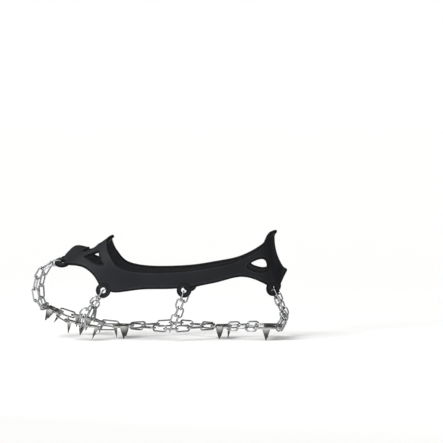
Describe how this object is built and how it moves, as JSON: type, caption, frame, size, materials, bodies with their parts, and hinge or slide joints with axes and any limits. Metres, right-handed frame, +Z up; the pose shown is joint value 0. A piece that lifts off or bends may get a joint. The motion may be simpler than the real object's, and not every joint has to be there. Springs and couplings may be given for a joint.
{
  "type": "ice cleat",
  "caption": "Slip-on boot traction device: moulded rubber harness with eyelets, linked by steel chains to pressed star and crescent plates with downward teeth.",
  "frame": {"origin": "middle of the footprint, on the ground under the tooth tips", "axes": "+X from toe to heel, +Y to the wearer's right, +Z up"},
  "size_m": [0.2977, 0.129, 0.1281],
  "materials": {
    "rubber": "matt moulded",
    "plate_steel": "brushed stainless",
    "chain_steel": "polished wire"
  },
  "bodies": {
    "harness": {"harness": "rubber", "toe_chain_left": "chain_steel", "toe_chain_right": "chain_steel", "ball_chain_left": "chain_steel", "ball_chain_right": "chain_steel", "junction_link_left": "chain_steel", "junction_link_right": "chain_steel", "arch_chain_left": "chain_steel", "arch_chain_right": "chain_steel", "heel_chain_left": "chain_steel", "heel_chain_right": "chain_steel"},
    "toe_plate": {"toe_plate": "plate_steel"},
    "forefoot_plate_left": {"forefoot_plate_left": "plate_steel"},
    "forefoot_plate_right": {"forefoot_plate_right": "plate_steel"},
    "ball_plate": {"ball_plate": "plate_steel"},
    "arch_plate": {"arch_plate": "plate_steel"},
    "heel_plate": {"heel_plate": "plate_steel"},
    "toe_link_left": {"toe_link_left": "chain_steel"},
    "toe_link_right": {"toe_link_right": "chain_steel"},
    "ball_link_left": {"ball_link_left": "chain_steel"},
    "ball_link_right": {"ball_link_right": "chain_steel"},
    "forefoot_drop_left": {"forefoot_drop_left": "chain_steel"},
    "forefoot_drop_right": {"forefoot_drop_right": "chain_steel"},
    "waist_drop_left": {"waist_drop_left": "chain_steel"},
    "waist_drop_right": {"waist_drop_right": "chain_steel"},
    "rear_drop_left": {"rear_drop_left": "chain_steel"},
    "rear_drop_right": {"rear_drop_right": "chain_steel"}
  },
  "joints": [
    {"name": "toe_plate_rock", "type": "hinge", "parent": "harness", "child": "toe_plate", "pos_m": [-0.12783, 0, 0.03286], "axis": [0, 1, 0], "range_deg": [-3, 3]},
    {"name": "ball_plate_rock", "type": "hinge", "parent": "harness", "child": "ball_plate", "pos_m": [-0.0454, 0, 0.014], "axis": [0, 1, 0], "range_deg": [-3, 3]},
    {"name": "arch_plate_rock", "type": "hinge", "parent": "harness", "child": "arch_plate", "pos_m": [0.0686, 0, 0.014], "axis": [0, 1, 0], "range_deg": [-3, 3]},
    {"name": "heel_plate_rock", "type": "hinge", "parent": "harness", "child": "heel_plate", "pos_m": [0.1246, 0, 0.014], "axis": [0, 1, 0], "range_deg": [-2, 2]},
    {"name": "forefoot_plate_rock_left", "type": "hinge", "parent": "harness", "child": "forefoot_plate_left", "pos_m": [-0.08863, -0.039, 0.01872], "axis": [1, 0, 0], "range_deg": [-3, 3]},
    {"name": "toe_link_swing_left", "type": "hinge", "parent": "harness", "child": "toe_link_left", "pos_m": [-0.12171, -0.0168, 0.02991], "axis": [0, 0, 1], "range_deg": [-2.5, 2.5]},
    {"name": "ball_link_swing_left", "type": "hinge", "parent": "harness", "child": "ball_link_left", "pos_m": [-0.0522, -0.0168, 0.014], "axis": [0, 0, 1], "range_deg": [-2.5, 2.5]},
    {"name": "forefoot_drop_swing_left", "type": "hinge", "parent": "harness", "child": "forefoot_drop_left", "pos_m": [-0.0634, -0.0563, 0.059], "axis": [0.0805, -0.9922, 0.0957], "range_deg": [-1, 1]},
    {"name": "waist_drop_swing_left", "type": "hinge", "parent": "harness", "child": "waist_drop_left", "pos_m": [0.0286, -0.04984, 0.059], "axis": [-0.0178, -0.9985, -0.0518], "range_deg": [-2, 2]},
    {"name": "rear_drop_swing_left", "type": "hinge", "parent": "harness", "child": "rear_drop_left", "pos_m": [0.1296, -0.033, 0.06], "axis": [0.5431, -0.8364, 0.0738], "range_deg": [-1, 1]},
    {"name": "forefoot_plate_rock_right", "type": "hinge", "parent": "harness", "child": "forefoot_plate_right", "pos_m": [-0.08863, 0.039, 0.01872], "axis": [1, 0, 0], "range_deg": [-3, 3]},
    {"name": "toe_link_swing_right", "type": "hinge", "parent": "harness", "child": "toe_link_right", "pos_m": [-0.12171, 0.0168, 0.02991], "axis": [0, 0, 1], "range_deg": [-2.5, 2.5]},
    {"name": "ball_link_swing_right", "type": "hinge", "parent": "harness", "child": "ball_link_right", "pos_m": [-0.0522, 0.0168, 0.014], "axis": [0, 0, 1], "range_deg": [-2.5, 2.5]},
    {"name": "forefoot_drop_swing_right", "type": "hinge", "parent": "harness", "child": "forefoot_drop_right", "pos_m": [-0.0634, 0.0563, 0.059], "axis": [0.0805, 0.9922, 0.0957], "range_deg": [-1, 1]},
    {"name": "waist_drop_swing_right", "type": "hinge", "parent": "harness", "child": "waist_drop_right", "pos_m": [0.0286, 0.04984, 0.059], "axis": [-0.0178, 0.9985, -0.0518], "range_deg": [-2, 2]},
    {"name": "rear_drop_swing_right", "type": "hinge", "parent": "harness", "child": "rear_drop_right", "pos_m": [0.1296, 0.033, 0.06], "axis": [0.5431, 0.8364, 0.0738], "range_deg": [-1, 1]}
  ]
}
